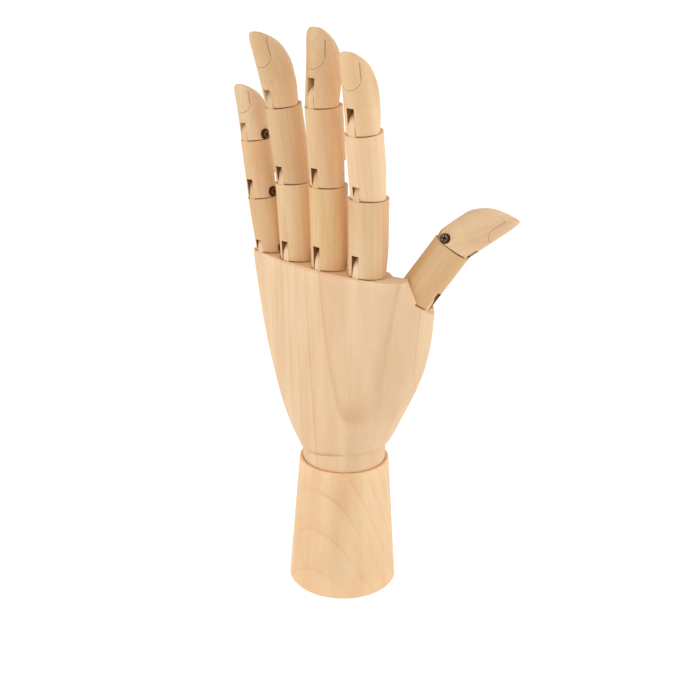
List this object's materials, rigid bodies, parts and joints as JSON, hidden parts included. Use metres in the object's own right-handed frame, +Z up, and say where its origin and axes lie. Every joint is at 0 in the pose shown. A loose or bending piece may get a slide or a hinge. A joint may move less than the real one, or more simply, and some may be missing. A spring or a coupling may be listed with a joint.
{
  "type": "wooden hand mannequin",
  "caption": "Jointed wooden artist's hand on a turned stand; its digits bend at pinned knuckles and its palm turns and tilts at the wrist.",
  "frame": {"origin": "centre of the stand's round foot, on the plane it rests on", "axes": "+Z up through the stand, -Y out of the back of the hand, +X to the thumb side"},
  "size_m": [0.1452, 0.0808, 0.3067],
  "materials": {
    "wood": "satin, fine sanded beech with a thin clear coat",
    "dark_steel": "black oxide, slightly oily",
    "zinc_steel": "zinc plated"
  },
  "bodies": {
    "stand": {"wrist_base": "wood"},
    "cup": {"wrist_cupped_washer": "zinc_steel"},
    "spring": {"wrist_spring": "zinc_steel"},
    "palm": {"palm_block": "wood", "wrist_bolt": "zinc_steel", "wrist_end_washer": "zinc_steel"},
    "index_proximal": {"index_proximal": "wood", "index_proximal_screw": "dark_steel"},
    "index_middle": {"index_middle": "wood", "index_middle_screw": "dark_steel"},
    "index_tip": {"index_tip": "wood", "index_tip_screw": "dark_steel"},
    "middle_proximal": {"middle_proximal": "wood", "middle_proximal_screw": "dark_steel"},
    "middle_middle": {"middle_middle": "wood", "middle_middle_screw": "dark_steel"},
    "middle_tip": {"middle_tip": "wood", "middle_tip_screw": "dark_steel"},
    "ring_proximal": {"ring_proximal": "wood", "ring_proximal_screw": "dark_steel"},
    "ring_middle": {"ring_middle": "wood", "ring_middle_screw": "dark_steel"},
    "ring_tip": {"ring_tip": "wood", "ring_tip_screw": "dark_steel"},
    "pinky_proximal": {"pinky_proximal": "wood", "pinky_proximal_screw": "dark_steel"},
    "pinky_middle": {"pinky_middle": "wood", "pinky_middle_screw": "dark_steel"},
    "pinky_tip": {"pinky_tip": "wood", "pinky_tip_screw": "dark_steel"},
    "thumb_proximal": {"thumb_proximal": "wood", "thumb_proximal_screw": "dark_steel"},
    "thumb_tip": {"thumb_tip": "wood", "thumb_tip_screw": "dark_steel"}
  },
  "joints": [
    {"name": "wrist_tilt_fore_aft", "type": "hinge", "parent": "stand", "child": "cup", "pos_m": [0, 0, 0.0827], "axis": [1, 0, 0], "range_deg": [-5, 5]},
    {"name": "wrist_tilt_side", "type": "hinge", "parent": "cup", "child": "spring", "pos_m": [0, 0, 0.0827], "axis": [0, 1, 0], "range_deg": [-5, 5]},
    {"name": "wrist_turn", "type": "hinge", "parent": "spring", "child": "palm", "pos_m": [0, 0, 0.0827], "axis": [0, 0, 1], "range_deg": [-180, 180]},
    {"name": "index_proximal_bend", "type": "hinge", "parent": "palm", "child": "index_proximal", "pos_m": [0.01851, -0.00336, 0.18723], "axis": [-0.9989, -0.0436, 0.0166], "range_deg": [-2, 75]},
    {"name": "index_middle_bend", "type": "hinge", "parent": "index_proximal", "child": "index_middle", "pos_m": [0.01925, -0.00475, 0.2278], "axis": [-0.9989, -0.0436, 0.0166], "range_deg": [-2, 85]},
    {"name": "index_tip_bend", "type": "hinge", "parent": "index_middle", "child": "index_tip", "pos_m": [0.02005, -0.01041, 0.26142], "axis": [-0.9989, -0.0436, 0.0166], "range_deg": [-2, 70]},
    {"name": "middle_proximal_bend", "type": "hinge", "parent": "palm", "child": "middle_proximal", "pos_m": [-0.00445, -0.00787, 0.18738], "axis": [-1, 0.0087, -0.0017], "range_deg": [-2, 75]},
    {"name": "middle_middle_bend", "type": "hinge", "parent": "middle_proximal", "child": "middle_middle", "pos_m": [-0.00454, -0.00994, 0.23123], "axis": [-1, 0.0087, -0.0017], "range_deg": [-2, 85]},
    {"name": "middle_tip_bend", "type": "hinge", "parent": "middle_middle", "child": "middle_tip", "pos_m": [-0.00464, -0.01383, 0.27165], "axis": [-1, 0.0087, -0.0017], "range_deg": [-2, 70]},
    {"name": "ring_proximal_bend", "type": "hinge", "parent": "palm", "child": "ring_proximal", "pos_m": [-0.02838, -0.00812, 0.18704], "axis": [-0.9992, 0.0174, -0.0366], "range_deg": [-2, 75]},
    {"name": "ring_middle_bend", "type": "hinge", "parent": "ring_proximal", "child": "ring_middle", "pos_m": [-0.02996, -0.01036, 0.22895], "axis": [-0.9992, 0.0174, -0.0366], "range_deg": [-2, 85]},
    {"name": "ring_tip_bend", "type": "hinge", "parent": "ring_middle", "child": "ring_tip", "pos_m": [-0.03154, -0.0167, 0.26912], "axis": [-0.9992, 0.0174, -0.0366], "range_deg": [-2, 70]},
    {"name": "pinky_proximal_bend", "type": "hinge", "parent": "palm", "child": "pinky_proximal", "pos_m": [-0.05027, -0.00781, 0.18676], "axis": [-0.9956, 0.0609, -0.0715], "range_deg": [-2, 75]},
    {"name": "pinky_middle_bend", "type": "hinge", "parent": "pinky_proximal", "child": "pinky_middle", "pos_m": [-0.05274, -0.01176, 0.21781], "axis": [-0.9956, 0.0609, -0.0715], "range_deg": [-2, 85]},
    {"name": "pinky_tip_bend", "type": "hinge", "parent": "pinky_middle", "child": "pinky_tip", "pos_m": [-0.0551, -0.01442, 0.2484], "axis": [-0.9956, 0.0609, -0.0715], "range_deg": [-2, 70]},
    {"name": "thumb_proximal_bend", "type": "hinge", "parent": "palm", "child": "thumb_proximal", "pos_m": [0.03686, 0.01406, 0.17464], "axis": [-0.26, 0.9125, -0.3159], "range_deg": [-50, 2]},
    {"name": "thumb_tip_bend", "type": "hinge", "parent": "thumb_proximal", "child": "thumb_tip", "pos_m": [0.04819, 0.02713, 0.20307], "axis": [-0.26, 0.9125, -0.3159], "range_deg": [-45, 2]}
  ]
}
